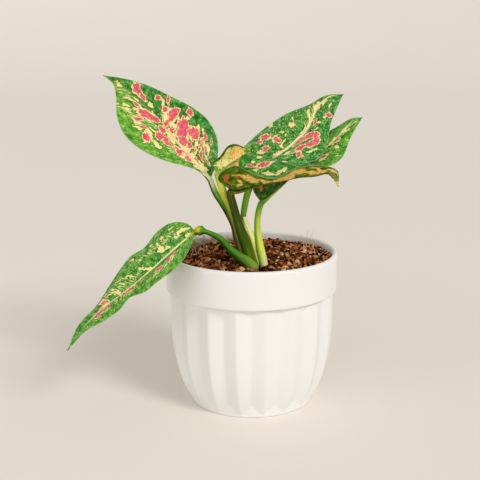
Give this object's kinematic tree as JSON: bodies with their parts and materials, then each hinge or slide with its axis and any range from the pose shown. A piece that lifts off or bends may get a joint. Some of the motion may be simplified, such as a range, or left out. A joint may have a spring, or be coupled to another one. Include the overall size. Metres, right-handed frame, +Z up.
{
  "type": "potted chinese evergreen",
  "caption": "Young variegated aglaonema with broad pink and green leaves, standing in a small round pot with a plain band and pleated sides.",
  "frame": {"origin": "centre of the pot's flat underside, where the pot stands", "axes": "+Z up; -Y is the front, from where the plant is seen in the picture; +X to the right of that view"},
  "size_m": [0.1992, 0.1293, 0.2269],
  "materials": {
    "pot": "matte warm white",
    "soil": "dark crumbly potting mix",
    "stem": "smooth pale green stem",
    "leaf": "satin leaf, green with cream and pink patches"
  },
  "bodies": {
    "root": {"pot": "pot", "soil": "soil", "stem": "stem", "leaf_lower_left": "leaf", "leaf_back_right": "leaf", "leaf_front_right": "leaf", "leaf_upper_right": "leaf", "leaf_upper_left": "leaf", "leaf_young_centre": "leaf"}
  },
  "joints": []
}
